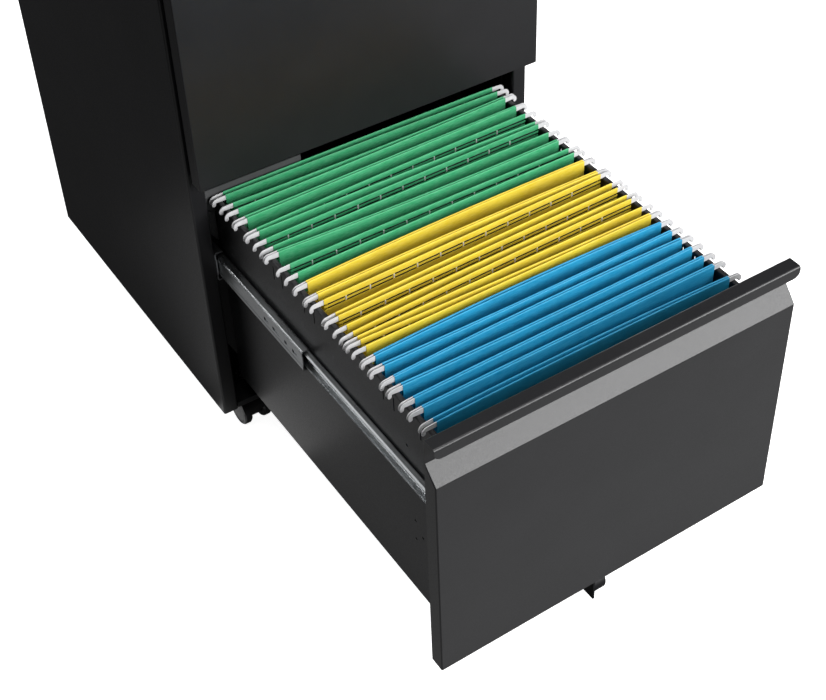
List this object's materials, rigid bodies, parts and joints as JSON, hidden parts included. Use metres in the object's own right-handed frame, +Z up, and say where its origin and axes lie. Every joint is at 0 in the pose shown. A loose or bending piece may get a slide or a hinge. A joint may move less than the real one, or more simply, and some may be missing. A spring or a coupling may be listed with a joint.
{
  "type": "filing cabinet",
  "caption": "Steel mobile pedestal with full-extension file drawers, finger-pull lips, a top lock and twin-wheel casters; the lower drawer stands open with hanging files.",
  "frame": {"origin": "on the floor, under the middle of the outline with the lower drawer pulled out; the carcass front is the plane y = 0", "axes": "+Z up, +Y from the drawer fronts to the back, +X to the right as seen from the front"},
  "size_m": [0.395, 0.84, 0.69],
  "materials": {
    "black_paint": "satin",
    "silver_paint": "satin",
    "plated_steel": "satin",
    "slide_steel": "satin",
    "bar_steel": "satin",
    "nylon": "matte",
    "green_card": "matte",
    "yellow_card": "matte",
    "blue_card": "matte"
  },
  "bodies": {
    "carcass": {"side_panel_left": "black_paint", "side_panel_right": "black_paint", "top_panel": "black_paint", "back_panel": "black_paint", "bottom_panel": "black_paint", "top_front_rail": "black_paint", "slide_uprights": "black_paint", "back_panel_screws": "plated_steel", "lock_cylinder": "plated_steel", "caster_stems": "plated_steel", "lower_slide_cabinet": "slide_steel", "upper_slide_cabinet": "slide_steel"},
    "lock_core": {"lock_plug": "plated_steel", "lock_rod": "plated_steel"},
    "lock_bar": {"lock_bar": "plated_steel"},
    "lower_drawer": {"lower_front_skin": "black_paint", "lower_front_liner": "black_paint", "lower_box_left": "black_paint", "lower_box_right": "black_paint", "lower_box_floor": "black_paint", "lower_box_back": "black_paint", "lower_catch_bracket": "silver_paint", "lower_front_screws": "plated_steel", "lower_slide_drawer": "slide_steel", "fifth_wheel_bracket": "black_paint", "fifth_wheel_axle": "plated_steel"},
    "fifth_wheel": {"fifth_wheel": "nylon"},
    "lower_slide_middle": {"lower_slide_middle": "slide_steel"},
    "lower_cage_outer": {"lower_cage_outer": "plated_steel"},
    "lower_cage_inner": {"lower_cage_inner": "plated_steel"},
    "upper_drawer": {"upper_front_skin": "black_paint", "upper_front_liner": "black_paint", "upper_box_left": "black_paint", "upper_box_right": "black_paint", "upper_box_floor": "black_paint", "upper_box_back": "black_paint", "upper_catch_bracket": "silver_paint", "upper_front_screws": "plated_steel", "upper_slide_drawer": "slide_steel"},
    "upper_slide_middle": {"upper_slide_middle": "slide_steel"},
    "upper_cage_outer": {"upper_cage_outer": "plated_steel"},
    "upper_cage_inner": {"upper_cage_inner": "plated_steel"},
    "green_files": {"green_folders": "green_card", "green_bars_steel": "bar_steel"},
    "yellow_files": {"yellow_folders": "yellow_card", "yellow_bars_steel": "bar_steel"},
    "blue_files": {"blue_folders": "blue_card", "blue_bars_steel": "bar_steel"},
    "caster_front_left": {"caster_hood_front_left": "nylon", "caster_axle_front_left": "plated_steel"},
    "wheels_front_left": {"caster_wheels_front_left": "nylon"},
    "caster_front_right": {"caster_hood_front_right": "nylon", "caster_axle_front_right": "plated_steel"},
    "wheels_front_right": {"caster_wheels_front_right": "nylon"},
    "caster_rear_left": {"caster_hood_rear_left": "nylon", "caster_axle_rear_left": "plated_steel"},
    "wheels_rear_left": {"caster_wheels_rear_left": "nylon"},
    "caster_rear_right": {"caster_hood_rear_right": "nylon", "caster_axle_rear_right": "plated_steel"},
    "wheels_rear_right": {"caster_wheels_rear_right": "nylon"}
  },
  "joints": [
    {"name": "lower_drawer_slide", "type": "slide", "parent": "carcass", "child": "lower_drawer", "axis": [0, -1, 0], "range_m": [-0.398, 0]},
    {"name": "lower_slide_middle_slide", "type": "slide", "parent": "carcass", "child": "lower_slide_middle", "axis": [0, -1, 0], "range_m": [-0.199, 0]},
    {"name": "lower_cage_outer_slide", "type": "slide", "parent": "carcass", "child": "lower_cage_outer", "axis": [0, -1, 0], "range_m": [-0.0995, 0]},
    {"name": "lower_cage_inner_slide", "type": "slide", "parent": "carcass", "child": "lower_cage_inner", "axis": [0, -1, 0], "range_m": [-0.2985, 0]},
    {"name": "upper_drawer_slide", "type": "slide", "parent": "carcass", "child": "upper_drawer", "axis": [0, -1, 0], "range_m": [0, 0.398]},
    {"name": "upper_slide_middle_slide", "type": "slide", "parent": "carcass", "child": "upper_slide_middle", "axis": [0, -1, 0], "range_m": [0, 0.199]},
    {"name": "upper_cage_outer_slide", "type": "slide", "parent": "carcass", "child": "upper_cage_outer", "axis": [0, -1, 0], "range_m": [0, 0.0995]},
    {"name": "upper_cage_inner_slide", "type": "slide", "parent": "carcass", "child": "upper_cage_inner", "axis": [0, -1, 0], "range_m": [0, 0.2985]},
    {"name": "lock_turn", "type": "hinge", "parent": "carcass", "child": "lock_core", "pos_m": [-0.15, 0, 0.674], "axis": [0, -1, 0], "range_deg": [0, 90]},
    {"name": "lock_bar_drop", "type": "slide", "parent": "carcass", "child": "lock_bar", "axis": [0, 0, -1], "range_m": [0, 0.0127]},
    {"name": "caster_front_left_swivel", "type": "hinge", "parent": "carcass", "child": "caster_front_left", "pos_m": [-0.155, 0.0425, 0.03], "axis": [0, 0, 1], "continuous": true},
    {"name": "wheels_front_left_roll", "type": "hinge", "parent": "caster_front_left", "child": "wheels_front_left", "pos_m": [-0.155, 0.0275, 0.019], "axis": [1, 0, 0], "continuous": true},
    {"name": "caster_front_right_swivel", "type": "hinge", "parent": "carcass", "child": "caster_front_right", "pos_m": [0.155, 0.0425, 0.03], "axis": [0, 0, 1], "continuous": true},
    {"name": "wheels_front_right_roll", "type": "hinge", "parent": "caster_front_right", "child": "wheels_front_right", "pos_m": [0.155, 0.0275, 0.019], "axis": [1, 0, 0], "continuous": true},
    {"name": "caster_rear_left_swivel", "type": "hinge", "parent": "carcass", "child": "caster_rear_left", "pos_m": [-0.155, 0.3775, 0.03], "axis": [0, 0, 1], "continuous": true},
    {"name": "wheels_rear_left_roll", "type": "hinge", "parent": "caster_rear_left", "child": "wheels_rear_left", "pos_m": [-0.155, 0.3625, 0.019], "axis": [1, 0, 0], "continuous": true},
    {"name": "caster_rear_right_swivel", "type": "hinge", "parent": "carcass", "child": "caster_rear_right", "pos_m": [0.155, 0.3775, 0.03], "axis": [0, 0, 1], "continuous": true},
    {"name": "wheels_rear_right_roll", "type": "hinge", "parent": "caster_rear_right", "child": "wheels_rear_right", "pos_m": [0.155, 0.3625, 0.019], "axis": [1, 0, 0], "continuous": true},
    {"name": "fifth_wheel_roll", "type": "hinge", "parent": "lower_drawer", "child": "fifth_wheel", "pos_m": [0.009, -0.38, 0.016], "axis": [1, 0, 0], "continuous": true},
    {"name": "green_files_slide", "type": "slide", "parent": "lower_drawer", "child": "green_files", "axis": [0, -1, 0], "range_m": [0, 0.008]},
    {"name": "yellow_files_slide", "type": "slide", "parent": "lower_drawer", "child": "yellow_files", "axis": [0, -1, 0], "range_m": [0, 0.006]},
    {"name": "blue_files_slide", "type": "slide", "parent": "lower_drawer", "child": "blue_files", "axis": [0, -1, 0], "range_m": [0, 0.025]}
  ],
  "couplings": [
    {"joint": "lower_slide_middle_slide", "follows": "lower_drawer_slide", "ratio": 0.5},
    {"joint": "lower_cage_outer_slide", "follows": "lower_drawer_slide", "ratio": 0.25},
    {"joint": "lower_cage_inner_slide", "follows": "lower_drawer_slide", "ratio": 0.75},
    {"joint": "upper_slide_middle_slide", "follows": "upper_drawer_slide", "ratio": 0.5},
    {"joint": "upper_cage_outer_slide", "follows": "upper_drawer_slide", "ratio": 0.25},
    {"joint": "upper_cage_inner_slide", "follows": "upper_drawer_slide", "ratio": 0.75},
    {"joint": "lock_bar_drop", "follows": "lock_turn", "m_per_rad": 0.0076527}
  ]
}
